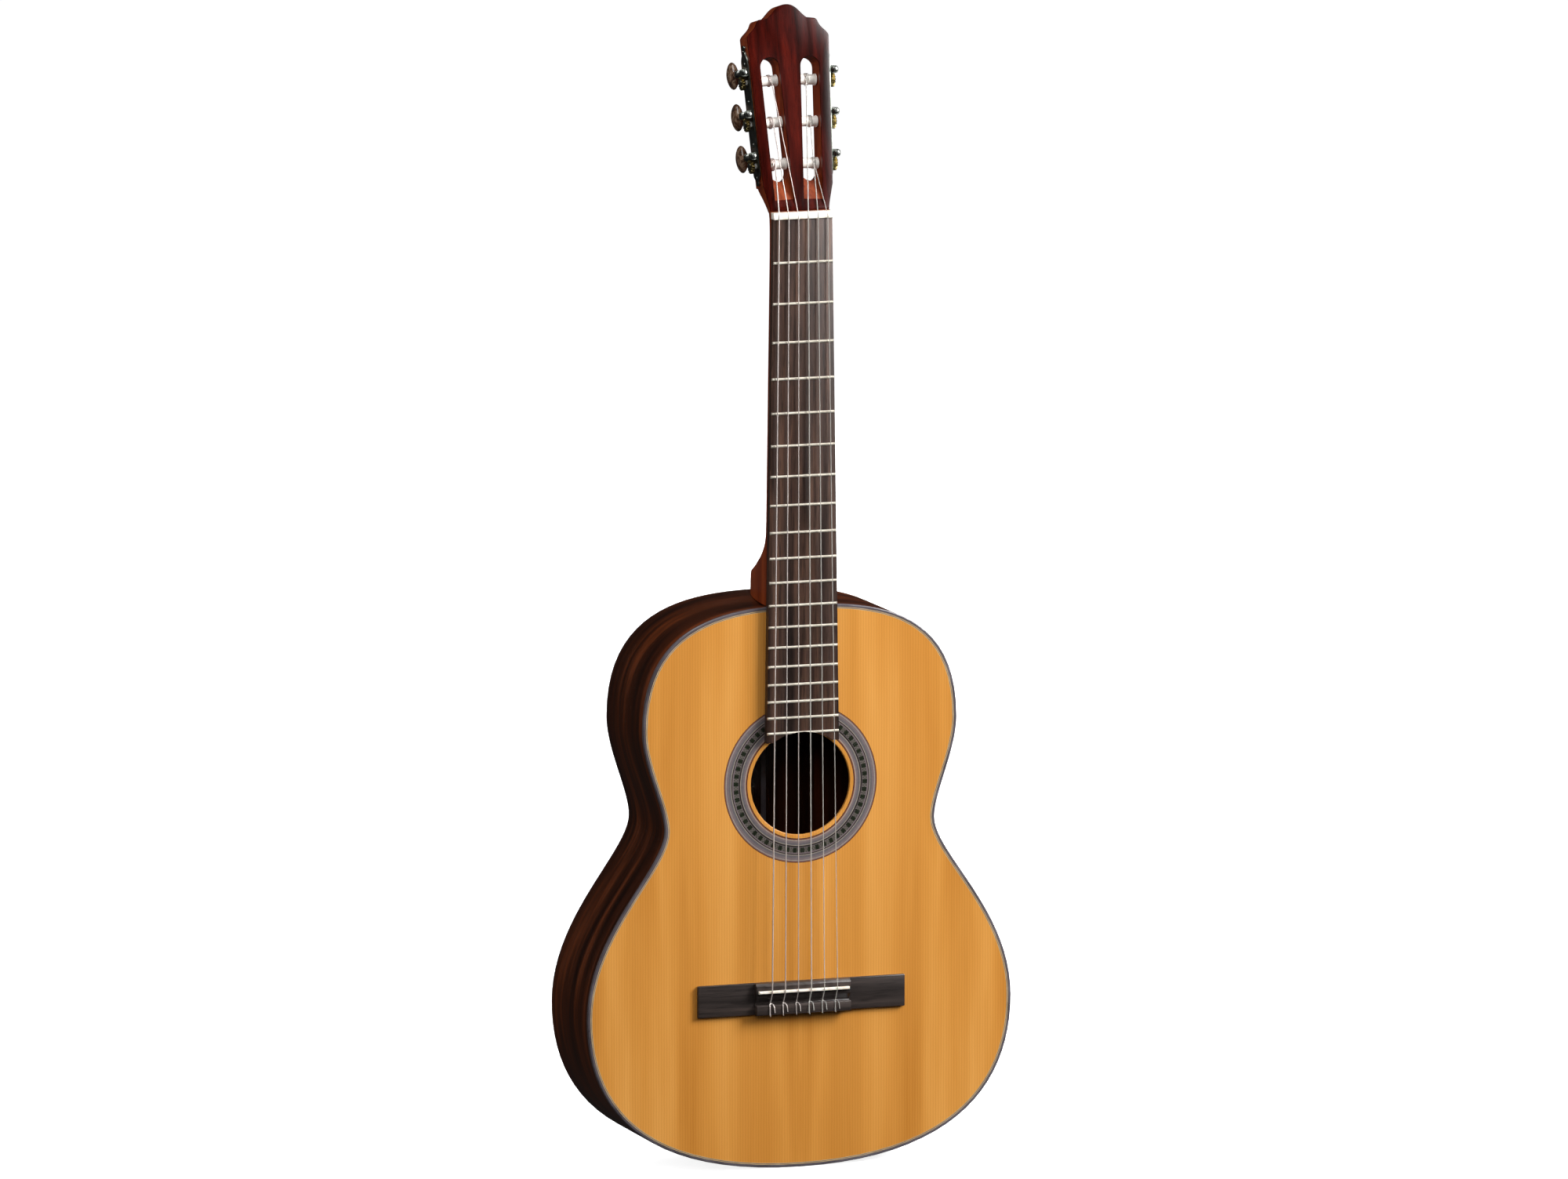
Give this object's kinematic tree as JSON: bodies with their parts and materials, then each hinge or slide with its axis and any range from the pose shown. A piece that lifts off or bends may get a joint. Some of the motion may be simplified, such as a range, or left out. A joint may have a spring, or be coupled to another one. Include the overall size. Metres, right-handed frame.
{
  "type": "classical guitar",
  "caption": "Classical guitar: hollow figure-eight body with a round soundhole, slotted head, tie bridge, nylon strings and worm-geared tuning buttons that turn the string rollers.",
  "frame": {"origin": "on the neck's face at the front edge of the nut, on the centre line, where a wall hanger's yoke carries the head", "axes": "+Z along the neck towards the head, -Y out of the soundboard's face, +X to the treble side"},
  "size_m": [0.3766, 0.1097, 0.9794],
  "materials": {
    "top_wood": "gloss lacquered cedar, straight vertical grain",
    "rosette_wood": "lacquered inlay of small wood tiles",
    "dark_wood": "gloss lacquered rosewood",
    "binding": "lacquered dark strip",
    "inner_wood": "bare spruce",
    "neck_wood": "gloss lacquered mahogany",
    "fingerboard_wood": "oiled rosewood",
    "bridge_wood": "oiled rosewood",
    "bone": "polished bone",
    "nickel": "dark aged nickel",
    "brass": "dull brass",
    "roller_plastic": "ivory coloured plastic",
    "button_plastic": "marbled amber plastic",
    "wound_string": "silvered wire winding",
    "nylon": "clear nylon"
  },
  "bodies": {
    "root": {"soundboard": "top_wood", "rosette": "rosette_wood", "back": "dark_wood", "side_bass": "dark_wood", "side_treble": "dark_wood", "binding_front": "binding", "binding_back": "binding", "lining_front": "inner_wood", "lining_back": "inner_wood", "neck_block": "inner_wood", "tail_block": "inner_wood", "harmonic_bar_upper": "inner_wood", "harmonic_bar_lower": "inner_wood", "fan_brace_1": "inner_wood", "fan_brace_2": "inner_wood", "fan_brace_3": "inner_wood", "fan_brace_4": "inner_wood", "fan_brace_5": "inner_wood", "back_brace_1": "inner_wood", "back_brace_2": "inner_wood", "back_brace_3": "inner_wood", "neck": "neck_wood", "head_veneer": "neck_wood", "fingerboard": "fingerboard_wood", "nut": "bone", "heel_cap": "dark_wood", "bridge": "bridge_wood", "saddle": "bone", "string_6": "wound_string", "string_5": "wound_string", "string_4": "wound_string", "string_3": "nylon", "string_2": "nylon", "string_1": "nylon", "machine_plate_bass": "nickel", "machine_plate_treble": "nickel"},
    "screw_6": {"worm_6": "nickel", "button_6": "button_plastic"},
    "drum_6": {"gear_6": "brass", "roller_6": "roller_plastic"},
    "screw_5": {"worm_5": "nickel", "button_5": "button_plastic"},
    "drum_5": {"gear_5": "brass", "roller_5": "roller_plastic"},
    "screw_4": {"worm_4": "nickel", "button_4": "button_plastic"},
    "drum_4": {"gear_4": "brass", "roller_4": "roller_plastic"},
    "screw_3": {"worm_3": "nickel", "button_3": "button_plastic"},
    "drum_3": {"gear_3": "brass", "roller_3": "roller_plastic"},
    "screw_2": {"worm_2": "nickel", "button_2": "button_plastic"},
    "drum_2": {"gear_2": "brass", "roller_2": "roller_plastic"},
    "screw_1": {"worm_1": "nickel", "button_1": "button_plastic"},
    "drum_1": {"gear_1": "brass", "roller_1": "roller_plastic"}
  },
  "joints": [
    {"name": "button_turn_6", "type": "hinge", "parent": "root", "child": "screw_6", "pos_m": [-0.0369, 0.02137, 0.05005], "axis": [0, 0.9781, -0.2079], "continuous": true},
    {"name": "roller_turn_6", "type": "hinge", "parent": "root", "child": "drum_6", "pos_m": [-0.03135, 0.01974, 0.04235], "axis": [0.999, 0.0091, 0.0427], "continuous": true},
    {"name": "button_turn_5", "type": "hinge", "parent": "root", "child": "screw_5", "pos_m": [-0.03843, 0.02864, 0.08425], "axis": [0, 0.9781, -0.2079], "continuous": true},
    {"name": "roller_turn_5", "type": "hinge", "parent": "root", "child": "drum_5", "pos_m": [-0.03288, 0.02701, 0.07656], "axis": [0.999, 0.0091, 0.0427], "continuous": true},
    {"name": "button_turn_4", "type": "hinge", "parent": "root", "child": "screw_4", "pos_m": [-0.03995, 0.03591, 0.11845], "axis": [0, 0.9781, -0.2079], "continuous": true},
    {"name": "roller_turn_4", "type": "hinge", "parent": "root", "child": "drum_4", "pos_m": [-0.0344, 0.03428, 0.11076], "axis": [0.999, 0.0091, 0.0427], "continuous": true},
    {"name": "button_turn_3", "type": "hinge", "parent": "root", "child": "screw_3", "pos_m": [0.03995, 0.03591, 0.11845], "axis": [0, 0.9781, -0.2079], "continuous": true},
    {"name": "roller_turn_3", "type": "hinge", "parent": "root", "child": "drum_3", "pos_m": [0.0344, 0.03428, 0.11076], "axis": [0.999, -0.0091, -0.0427], "continuous": true},
    {"name": "button_turn_2", "type": "hinge", "parent": "root", "child": "screw_2", "pos_m": [0.03843, 0.02864, 0.08425], "axis": [0, 0.9781, -0.2079], "continuous": true},
    {"name": "roller_turn_2", "type": "hinge", "parent": "root", "child": "drum_2", "pos_m": [0.03288, 0.02701, 0.07656], "axis": [0.999, -0.0091, -0.0427], "continuous": true},
    {"name": "button_turn_1", "type": "hinge", "parent": "root", "child": "screw_1", "pos_m": [0.0369, 0.02137, 0.05005], "axis": [0, 0.9781, -0.2079], "continuous": true},
    {"name": "roller_turn_1", "type": "hinge", "parent": "root", "child": "drum_1", "pos_m": [0.03135, 0.01974, 0.04235], "axis": [0.999, -0.0091, -0.0427], "continuous": true}
  ],
  "couplings": [
    {"joint": "roller_turn_6", "follows": "button_turn_6", "ratio": 0.071429},
    {"joint": "roller_turn_5", "follows": "button_turn_5", "ratio": 0.071429},
    {"joint": "roller_turn_4", "follows": "button_turn_4", "ratio": 0.071429},
    {"joint": "roller_turn_3", "follows": "button_turn_3", "ratio": 0.071429},
    {"joint": "roller_turn_2", "follows": "button_turn_2", "ratio": 0.071429},
    {"joint": "roller_turn_1", "follows": "button_turn_1", "ratio": 0.071429}
  ]
}
